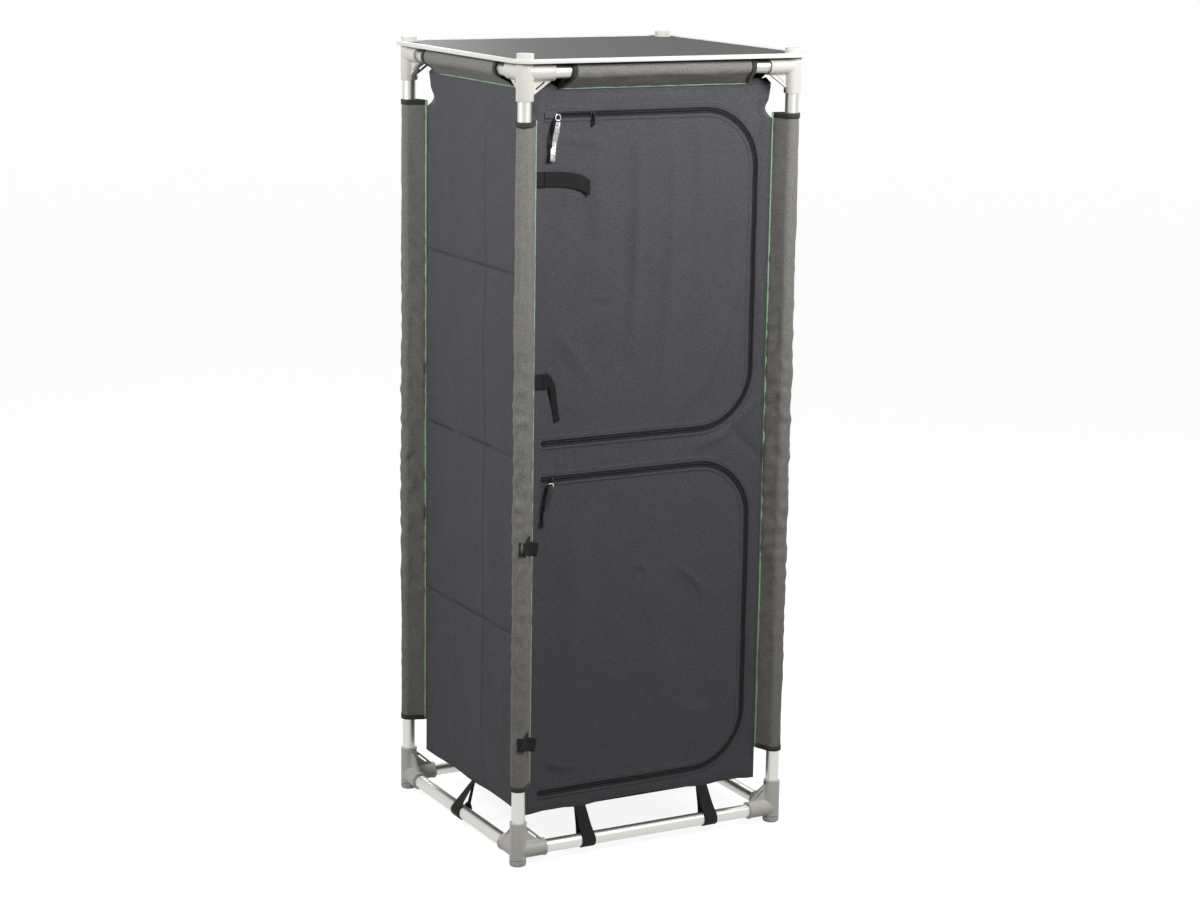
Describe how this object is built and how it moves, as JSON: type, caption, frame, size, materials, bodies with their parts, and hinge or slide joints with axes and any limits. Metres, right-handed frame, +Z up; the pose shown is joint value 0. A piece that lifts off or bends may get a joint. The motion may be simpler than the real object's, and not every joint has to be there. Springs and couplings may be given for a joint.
{
  "type": "fabric camp kitchen cupboard",
  "caption": "Free-standing camping cupboard: a cloth box with shelves and zipped doors, hung in a plug-together tube frame with a lift-off table top.",
  "frame": {"origin": "on the floor at the middle of the four feet", "axes": "+Z up, +X to the right along the front, doors on the -Y side"},
  "size_m": [0.574, 0.512, 1.42],
  "materials": {
    "satin_aluminium": "satin anodised",
    "connector_plastic": "moulded, fine texture",
    "foot_plastic": "moulded",
    "table_laminate": "matte laminate",
    "rim_plastic": "satin",
    "dark_cloth": "woven, matte",
    "inner_cloth": "woven, matte",
    "sleeve_cloth": "woven, matte",
    "zip_coil": "coil zip under a woven tape",
    "silver_metal": "plated",
    "black_metal": "black lacquer",
    "reflective_tape": "silvery reflective tape",
    "black_webbing": "woven webbing",
    "green_piping": "piping cord in cloth",
    "binding_tape": "ribbed binding",
    "dark_steel": "blackened screw"
  },
  "bodies": {
    "frame": {"lower_connector_front_left": "connector_plastic", "upper_connector_front_left": "connector_plastic", "leg_tube_front_left": "satin_aluminium", "leg_sleeve_front_left": "sleeve_cloth", "lower_connector_front_right": "connector_plastic", "upper_connector_front_right": "connector_plastic", "leg_tube_front_right": "satin_aluminium", "leg_sleeve_front_right": "sleeve_cloth", "lower_connector_back_left": "connector_plastic", "upper_connector_back_left": "connector_plastic", "leg_tube_back_left": "satin_aluminium", "leg_sleeve_back_left": "sleeve_cloth", "lower_connector_back_right": "connector_plastic", "upper_connector_back_right": "connector_plastic", "leg_tube_back_right": "satin_aluminium", "leg_sleeve_back_right": "sleeve_cloth", "bottom_rail_front": "satin_aluminium", "bottom_rail_back": "satin_aluminium", "bottom_rail_left": "satin_aluminium", "bottom_rail_right": "satin_aluminium", "top_rail_front": "satin_aluminium", "top_rail_back": "satin_aluminium", "top_rail_left": "satin_aluminium", "top_rail_right": "satin_aluminium", "rail_sleeve_front": "sleeve_cloth", "rail_sleeve_back": "sleeve_cloth", "rail_sleeve_left": "sleeve_cloth", "rail_sleeve_right": "sleeve_cloth", "front_panel": "dark_cloth", "side_wall_left": "dark_cloth", "side_wall_right": "dark_cloth", "back_wall": "dark_cloth", "cloth_roof": "inner_cloth", "floor_board": "inner_cloth", "lower_shelf": "inner_cloth", "middle_shelf": "inner_cloth", "upper_shelf": "inner_cloth", "hold_down_strap_front_left": "black_webbing", "hold_down_strap_front_right": "black_webbing", "hold_down_strap_back_left": "black_webbing", "hold_down_strap_back_right": "black_webbing", "hold_down_strap_left": "black_webbing", "hold_down_strap_right": "black_webbing"},
    "table_top": {"table_board": "table_laminate", "table_rim": "rim_plastic"},
    "screw_foot_front_left": {"screw_foot_front_left": "foot_plastic"},
    "screw_foot_front_right": {"screw_foot_front_right": "foot_plastic"},
    "screw_foot_back_left": {"screw_foot_back_left": "foot_plastic"},
    "screw_foot_back_right": {"screw_foot_back_right": "foot_plastic"},
    "upper_door": {"upper_door": "dark_cloth", "upper_zip": "zip_coil", "tie_tape_upper": "black_webbing", "tie_tape_lower": "black_webbing"},
    "lower_door": {"lower_door": "dark_cloth", "lower_zip": "zip_coil"},
    "upper_zip_slider": {"upper_zip_slider": "silver_metal"},
    "upper_zip_pull": {"upper_zip_pull": "reflective_tape"},
    "second_zip_slider": {"second_zip_slider": "black_metal"},
    "lower_zip_slider": {"lower_zip_slider": "silver_metal"},
    "lower_zip_pull": {"lower_zip_pull": "reflective_tape"}
  },
  "joints": [
    {"name": "table_top_lift", "type": "slide", "parent": "frame", "child": "table_top", "axis": [0, 0, 1], "range_m": [0, 0.03]},
    {"name": "foot_screw_front_left", "type": "slide", "parent": "frame", "child": "screw_foot_front_left", "axis": [0, 0, -1], "range_m": [0, 0.012]},
    {"name": "foot_screw_front_right", "type": "slide", "parent": "frame", "child": "screw_foot_front_right", "axis": [0, 0, -1], "range_m": [0, 0.012]},
    {"name": "foot_screw_back_left", "type": "slide", "parent": "frame", "child": "screw_foot_back_left", "axis": [0, 0, -1], "range_m": [0, 0.012]},
    {"name": "foot_screw_back_right", "type": "slide", "parent": "frame", "child": "screw_foot_back_right", "axis": [0, 0, -1], "range_m": [0, 0.012]},
    {"name": "upper_door_hinge", "type": "hinge", "parent": "frame", "child": "upper_door", "pos_m": [-0.2125, -0.206, 0.7505], "axis": [0, 0, -1], "range_deg": [0, 105]},
    {"name": "lower_door_hinge", "type": "hinge", "parent": "frame", "child": "lower_door", "pos_m": [-0.2125, -0.206, 0.117], "axis": [0, 0, -1], "range_deg": [0, 105]},
    {"name": "upper_zip_slider_travel", "type": "slide", "parent": "upper_door", "child": "upper_zip_slider", "axis": [1, 0, 0], "range_m": [0, 0.055]},
    {"name": "second_zip_slider_travel", "type": "slide", "parent": "upper_door", "child": "second_zip_slider", "axis": [1, 0, 0], "range_m": [-0.045, 0.2]},
    {"name": "lower_zip_slider_travel", "type": "slide", "parent": "lower_door", "child": "lower_zip_slider", "axis": [1, 0, 0], "range_m": [0, 0.28]},
    {"name": "upper_zip_pull_swing", "type": "hinge", "parent": "upper_zip_slider", "child": "upper_zip_pull", "pos_m": [-0.1885, -0.2111, 1.3145], "axis": [-1, 0, 0], "range_deg": [0, 100]},
    {"name": "lower_zip_pull_swing", "type": "hinge", "parent": "lower_zip_slider", "child": "lower_zip_pull", "pos_m": [-0.1925, -0.2111, 0.6865], "axis": [-1, 0, 0], "range_deg": [0, 100]}
  ]
}
